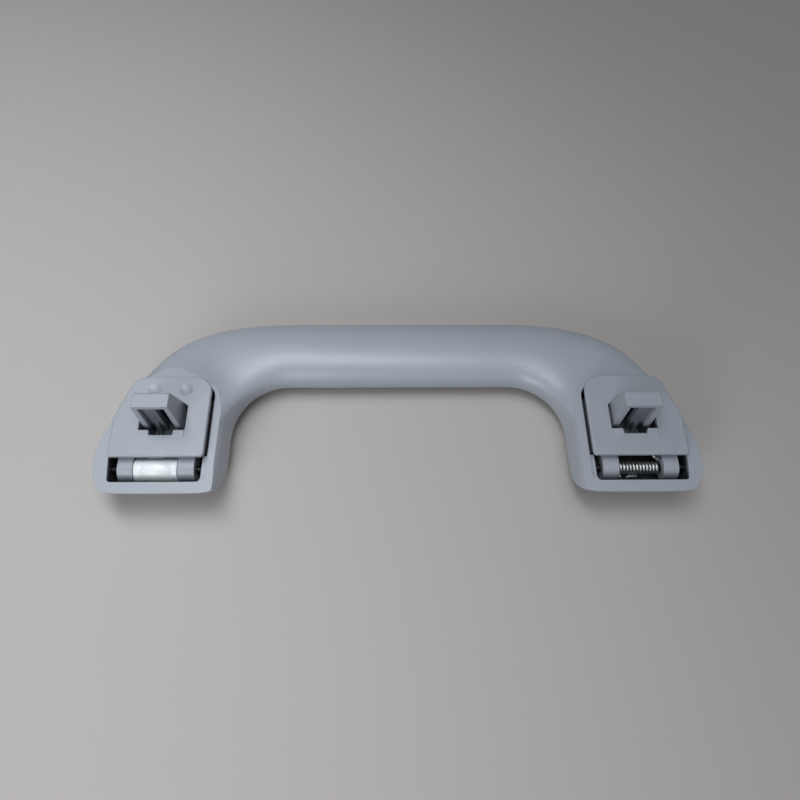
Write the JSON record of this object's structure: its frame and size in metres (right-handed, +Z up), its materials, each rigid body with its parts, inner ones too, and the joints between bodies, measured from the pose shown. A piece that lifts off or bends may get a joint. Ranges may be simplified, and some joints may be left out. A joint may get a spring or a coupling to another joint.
{
  "type": "roof grab handle",
  "caption": "Folding roof grab handle: moulded grip with hinged hook brackets at its ends, one with a barrel damper, one with a torsion spring.",
  "frame": {"origin": "centre of the bounding box's base, under the middle of the handle as it lies on its front", "axes": "+X along the handle towards the sprung end, +Y from the hinges to the grip, +Z up through the hooks, away from the front"},
  "size_m": [0.244, 0.0834, 0.04],
  "materials": {
    "handle_plastic": "fine satin grain",
    "bracket_plastic": "satin",
    "cap_plastic": "satin",
    "pin_steel": "ground, blackened",
    "damper_plastic": "translucent natural white",
    "rotor_plastic": "smooth",
    "seal_rubber": "matte",
    "spring_steel": "bright drawn wire"
  },
  "bodies": {
    "handle": {"grip_handle": "handle_plastic", "left_hinge_pin": "pin_steel", "right_hinge_pin": "pin_steel", "damper_rotor": "rotor_plastic", "torsion_spring": "spring_steel"},
    "left_bracket": {"left_bracket": "bracket_plastic", "left_lock_cap": "cap_plastic", "damper_housing": "damper_plastic", "damper_end_cap": "damper_plastic", "damper_seal": "seal_rubber"},
    "right_bracket": {"right_bracket": "bracket_plastic", "right_lock_cap": "cap_plastic"}
  },
  "joints": [
    {"name": "left_hinge", "type": "hinge", "parent": "handle", "child": "left_bracket", "pos_m": [-0.0972, -0.02995, 0.015], "axis": [1, 0, 0], "range_deg": [0, 66]},
    {"name": "right_hinge", "type": "hinge", "parent": "handle", "child": "right_bracket", "pos_m": [0.0972, -0.02995, 0.015], "axis": [1, 0, 0], "range_deg": [0, 66], "stiffness_Nm_per_rad": 0.04, "springref_deg": -85.94, "deforming": ["torsion_spring"]}
  ]
}
